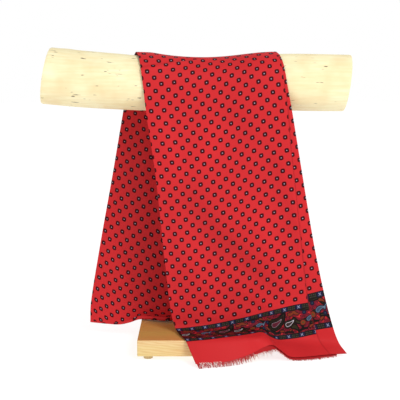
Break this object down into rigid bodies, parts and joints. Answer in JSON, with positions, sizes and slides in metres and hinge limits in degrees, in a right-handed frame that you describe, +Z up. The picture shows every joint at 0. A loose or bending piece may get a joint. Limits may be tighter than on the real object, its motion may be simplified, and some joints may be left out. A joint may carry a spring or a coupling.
{
  "type": "silk scarf on a wooden display stand",
  "caption": "Printed silk tube scarf with a paisley border and a fringed end, draped over a pale log on a wooden display stand",
  "frame": {"origin": "middle of the part's underside, on the surface it stands on", "axes": "+X to the right seen from the front, along the log; +Y to the back; +Z up"},
  "size_m": [0.5714, 0.2648, 0.5656],
  "materials": {
    "silk": "satin",
    "peeled_log": "matte",
    "pine": "satin",
    "felt": "matte"
  },
  "bodies": {
    "root": {"base_board": "pine", "foot_1": "felt", "foot_2": "felt", "foot_3": "felt", "foot_4": "felt", "post": "pine", "log": "peeled_log", "scarf_front_fall": "silk", "scarf_over_log": "silk", "scarf_back_fall": "silk", "scarf_return": "silk", "scarf_under_hem": "silk", "fringe_front": "silk", "fringe_under": "silk"}
  },
  "joints": []
}
